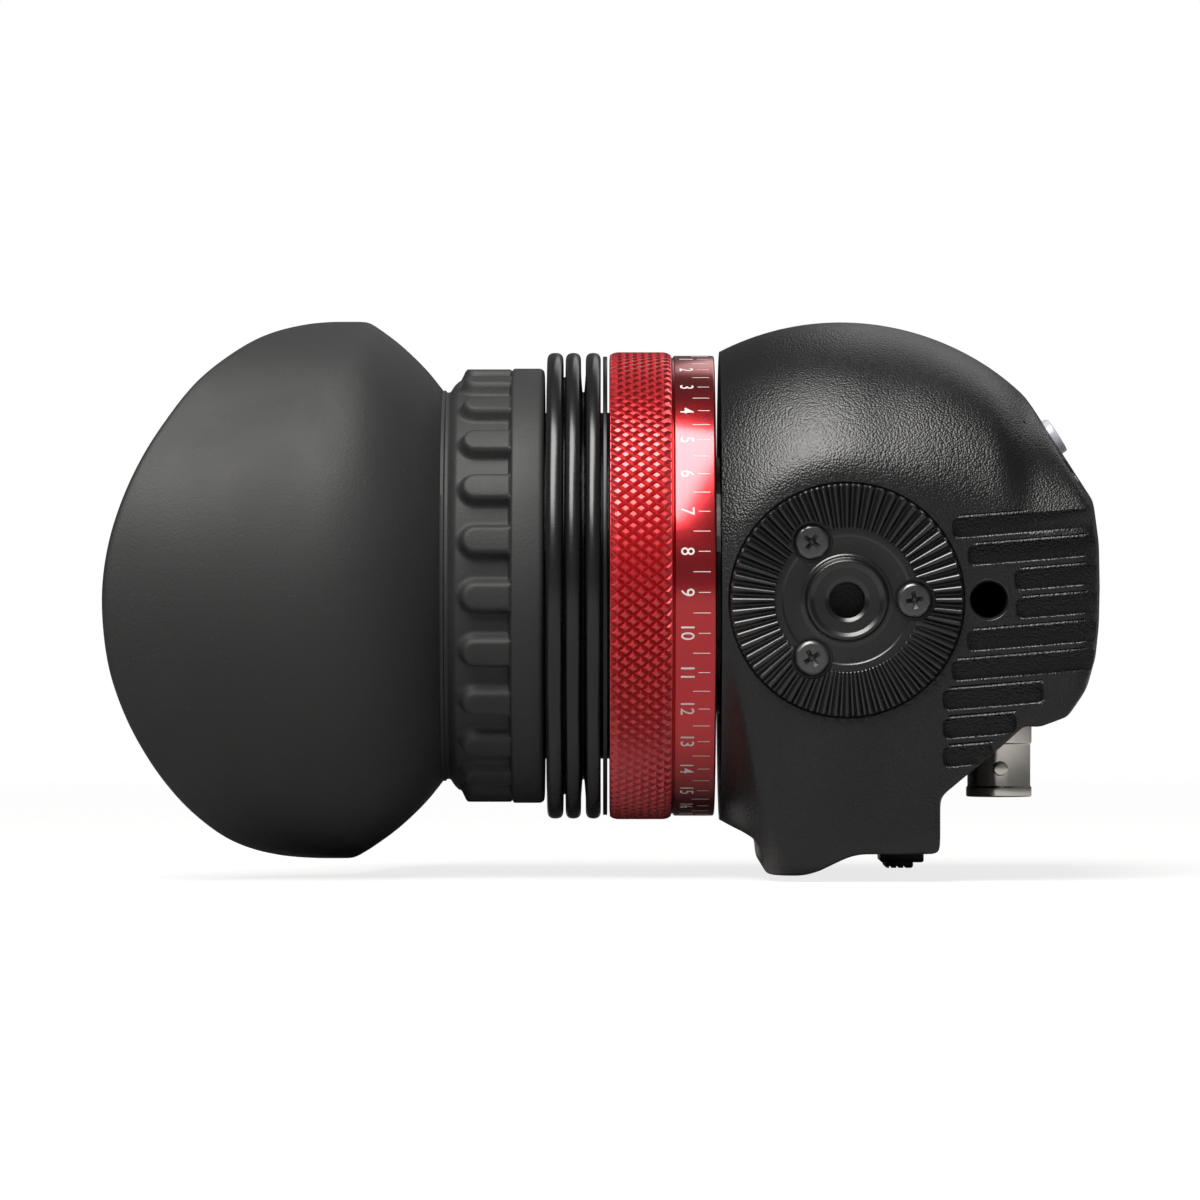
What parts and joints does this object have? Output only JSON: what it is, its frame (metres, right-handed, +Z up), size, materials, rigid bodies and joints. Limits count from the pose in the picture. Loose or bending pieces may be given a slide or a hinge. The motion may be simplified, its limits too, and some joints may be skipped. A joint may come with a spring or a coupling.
{
  "type": "electronic viewfinder",
  "caption": "Electronic viewfinder with a rotating rubber eyecup, bellows, focus ring, ball-shaped body, toothed accessory rosette, slide-in battery and video sockets.",
  "frame": {"origin": "centre of the accessory rosette's threaded hub, on its face", "axes": "-Y out of the rosette; +X along the optical axis, away from the eye; +Z up"},
  "size_m": [0.1375, 0.0744, 0.0773],
  "materials": {
    "body_paint": "fine pebbled satin black",
    "black_anodised": "satin black anodised",
    "eyecup_rubber": "matte",
    "bellows_rubber": "semi-gloss",
    "red_anodised": "satin red anodised",
    "grey_metal": "satin",
    "nickel": "bright nickel",
    "lens_glass": "polished, coated",
    "display_black": "glossy",
    "circuit_board": "solder mask",
    "black_plastic": "satin black",
    "button_resin": "translucent pale grey",
    "white_insulator": "smooth"
  },
  "bodies": {
    "housing": {"main_housing": "body_paint", "front_plate": "body_paint", "plate_screw_1": "black_anodised", "plate_screw_2": "black_anodised", "plate_screw_3": "black_anodised", "plate_screw_4": "black_anodised", "rosette": "black_anodised", "rosette_screw_1": "black_anodised", "rosette_screw_2": "black_anodised", "rosette_screw_3": "black_anodised", "side_insert": "grey_metal", "guide_tube": "black_anodised", "retaining_flange": "grey_metal", "bellows": "bellows_rubber", "display_frame": "black_plastic", "display_panel": "display_black", "display_glass": "lens_glass", "main_board": "circuit_board", "heat_spreader": "grey_metal", "interface_board": "circuit_board", "connector_panel": "black_anodised", "bnc_jack": "nickel", "bnc_nut": "nickel", "bnc_contact": "white_insulator", "hdmi_socket_1": "grey_metal", "hdmi_socket_2": "grey_metal", "power_socket": "nickel", "battery_contacts": "black_plastic", "key_board": "circuit_board", "joystick_base": "black_plastic", "latch_spring": "grey_metal"},
    "focus_ring": {"focus_ring": "red_anodised"},
    "eyepiece": {"lens_barrel": "black_anodised", "drive_pin_1": "grey_metal", "drive_pin_2": "grey_metal", "field_lens": "lens_glass", "lens_spacer": "black_anodised", "eye_lens": "lens_glass", "lens_retaining_ring": "black_anodised"},
    "eyecup": {"eyecup": "eyecup_rubber", "eyecup_clip_ring": "black_plastic"},
    "battery": {"battery_pack": "black_plastic"},
    "battery_latch": {"battery_latch": "black_plastic"},
    "joystick_yoke": {"joystick_yoke": "grey_metal"},
    "joystick_shaft": {"joystick_shaft": "grey_metal"},
    "joystick_cap": {"joystick_cap": "black_plastic"},
    "function_button_1": {"function_button_1": "button_resin"},
    "function_button_2": {"function_button_2": "button_resin"},
    "function_button_3": {"function_button_3": "button_resin"},
    "function_button_4": {"function_button_4": "button_resin"}
  },
  "joints": [
    {"name": "focus_turn", "type": "hinge", "parent": "housing", "child": "focus_ring", "pos_m": [-0.025, 0.0345, 0.002], "axis": [-1, 0, 0], "range_deg": [0, 180]},
    {"name": "eyepiece_slide", "type": "slide", "parent": "housing", "child": "eyepiece", "axis": [-1, 0, 0], "range_m": [0, 0.005], "deforming": ["bellows"]},
    {"name": "eyecup_turn", "type": "hinge", "parent": "eyepiece", "child": "eyecup", "pos_m": [-0.046, 0.0345, 0.002], "axis": [1, 0, 0], "continuous": true},
    {"name": "battery_slide", "type": "slide", "parent": "housing", "child": "battery", "axis": [0, 1, 0], "range_m": [0, 0.06]},
    {"name": "latch_slide", "type": "slide", "parent": "housing", "child": "battery_latch", "axis": [-1, 0, 0], "range_m": [0, 0.002], "stiffness_N_per_m": 600, "deforming": ["latch_spring"]},
    {"name": "joystick_nod", "type": "hinge", "parent": "housing", "child": "joystick_yoke", "pos_m": [0.029, 0.0345, 0.00311], "axis": [0, 1, 0], "range_deg": [-7, 7], "stiffness_Nm_per_rad": 0.02},
    {"name": "joystick_sway", "type": "hinge", "parent": "joystick_yoke", "child": "joystick_shaft", "pos_m": [0.029, 0.0345, 0.00311], "axis": [0, 0, 1], "range_deg": [-7, 7], "stiffness_Nm_per_rad": 0.02},
    {"name": "joystick_press", "type": "slide", "parent": "joystick_shaft", "child": "joystick_cap", "axis": [-1, 0, 0], "range_m": [0, 0.0004], "stiffness_N_per_m": 2000},
    {"name": "button_press_1", "type": "slide", "parent": "housing", "child": "function_button_1", "axis": [-0.8395, 0, -0.5434], "range_m": [0, 0.0005], "stiffness_N_per_m": 1500},
    {"name": "button_press_2", "type": "slide", "parent": "housing", "child": "function_button_2", "axis": [-0.8395, 0, -0.5434], "range_m": [0, 0.0005], "stiffness_N_per_m": 1500},
    {"name": "button_press_3", "type": "slide", "parent": "housing", "child": "function_button_3", "axis": [-0.8395, 0, -0.5434], "range_m": [0, 0.0005], "stiffness_N_per_m": 1500},
    {"name": "button_press_4", "type": "slide", "parent": "housing", "child": "function_button_4", "axis": [-0.8395, 0, -0.5434], "range_m": [0, 0.0005], "stiffness_N_per_m": 1500}
  ],
  "couplings": [
    {"joint": "eyepiece_slide", "follows": "focus_turn", "m_per_rad": 0.0015915}
  ]
}
